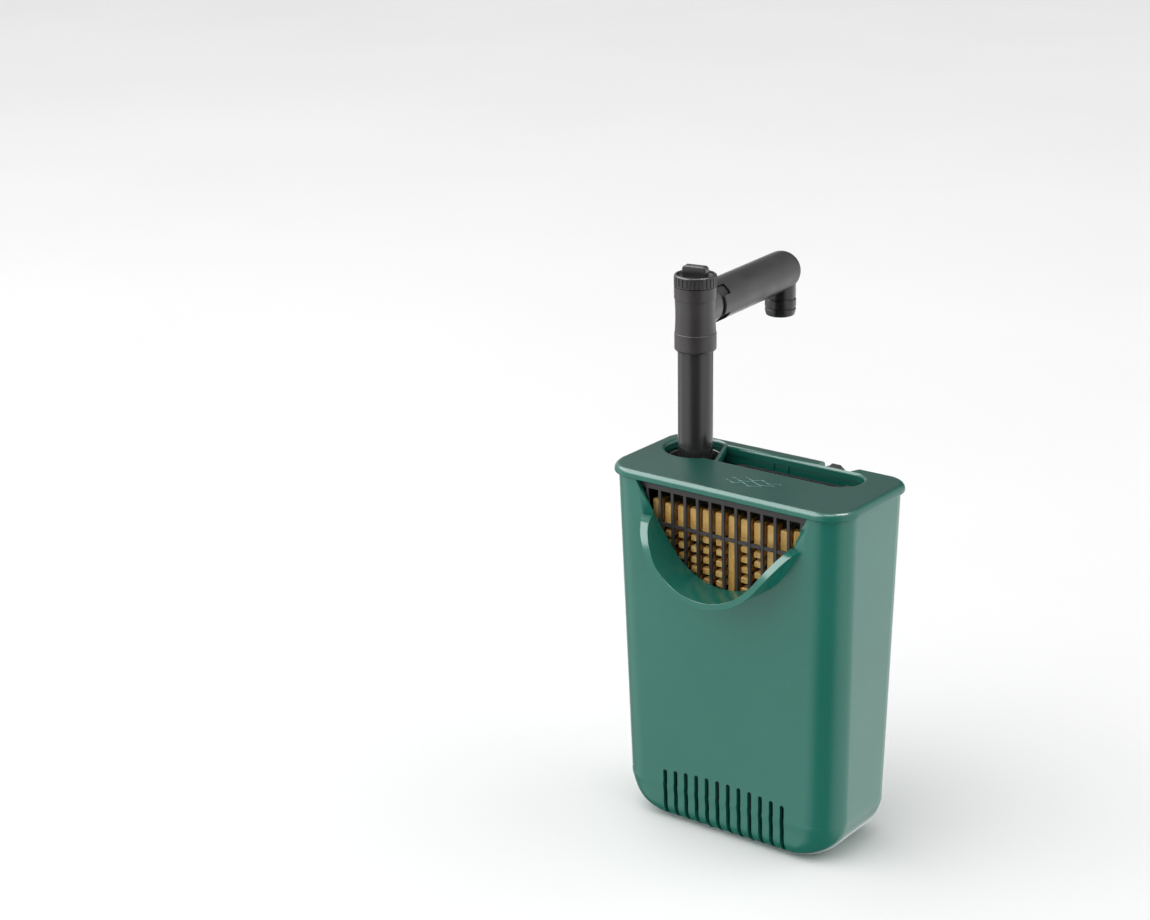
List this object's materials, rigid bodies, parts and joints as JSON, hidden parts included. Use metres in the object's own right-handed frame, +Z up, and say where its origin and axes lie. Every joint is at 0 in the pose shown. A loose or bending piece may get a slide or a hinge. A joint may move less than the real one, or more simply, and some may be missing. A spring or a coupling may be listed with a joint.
{
  "type": "internal power filter",
  "caption": "Drop-in tank filter: green casing with a front spout and grate, lid with a cartridge slot, submerged pump, upright riser and a swivelling arm with a hose nozzle.",
  "frame": {"origin": "centre of the casing's flat base", "axes": "+Z up along the riser, -Y towards the front with the spout, +X to the right seen from the front"},
  "size_m": [0.128, 0.1486, 0.2592],
  "materials": {
    "green_shell": "smooth injection-moulded plastic with a soft gloss",
    "dark_plastic": "satin dark grey plastic",
    "black_plastic": "satin black plastic",
    "gloss_tube": "glossy extruded tube",
    "arm_plastic": "fine matte texture",
    "tan_media": "waxy moulded media",
    "floss": "fibrous pad",
    "carbon": "granules in a mesh pouch",
    "steel_core": "stacked laminations",
    "copper_coil": "enamelled winding",
    "white_plastic": "moulded",
    "magnet": "sealed ferrite",
    "ceramic": "polished ceramic",
    "rubber": "soft matte rubber",
    "clear_rubber": "translucent soft vinyl",
    "steel": "stainless"
  },
  "bodies": {
    "casing": {"casing": "green_shell", "front_grate": "dark_plastic", "bio_grid": "tan_media", "divider": "dark_plastic", "pump_housing": "black_plastic", "motor_end_cap": "black_plastic", "motor_core": "steel_core", "motor_coil": "copper_coil", "volute_cover": "black_plastic", "intake_screen": "dark_plastic", "impeller_shaft": "ceramic", "shaft_bushes": "rubber", "cover_screws": "steel", "pump_feet": "rubber", "outlet_socket": "black_plastic", "socket_seal": "rubber", "suction_cups": "clear_rubber", "cord_grommet": "rubber"},
    "lid": {"lid": "green_shell"},
    "cartridge": {"cartridge_frame": "black_plastic", "cartridge_floss": "floss", "cartridge_carbon": "carbon"},
    "rotor": {"impeller": "white_plastic", "rotor_magnet": "magnet"},
    "riser": {"riser_tube": "gloss_tube"},
    "tee": {"tee_body": "dark_plastic", "tee_collar": "dark_plastic", "tee_seal": "rubber", "arm_seal": "rubber"},
    "knob": {"cap_ring": "dark_plastic", "diverter_knob": "dark_plastic", "diverter_barrel": "black_plastic", "knob_seal": "rubber"},
    "arm": {"arm_tube": "arm_plastic", "nozzle": "black_plastic"}
  },
  "joints": [
    {"name": "lid_lift", "type": "slide", "parent": "casing", "child": "lid", "axis": [0, 0, 1], "range_m": [0, 0.04]},
    {"name": "cartridge_lift", "type": "slide", "parent": "casing", "child": "cartridge", "axis": [0, 0, 1], "range_m": [0, 0.047]},
    {"name": "rotor_spin", "type": "hinge", "parent": "casing", "child": "rotor", "pos_m": [-0.04, 0.0015, 0.027], "axis": [1, 0, 0], "continuous": true},
    {"name": "riser_lift", "type": "slide", "parent": "casing", "child": "riser", "axis": [0, 0, 1], "range_m": [0, 0.03]},
    {"name": "tee_swivel", "type": "hinge", "parent": "riser", "child": "tee", "pos_m": [-0.042, 0.0123, 0.2389], "axis": [0, 0, 1], "continuous": true},
    {"name": "knob_turn", "type": "hinge", "parent": "tee", "child": "knob", "pos_m": [-0.042, 0.0123, 0.255], "axis": [0, 0, 1], "range_deg": [0, 90]},
    {"name": "arm_roll", "type": "hinge", "parent": "tee", "child": "arm", "pos_m": [-0.04409, 0.04223, 0.2389], "axis": [-0.0698, 0.9976, 0], "range_deg": [-90, 90]}
  ]
}
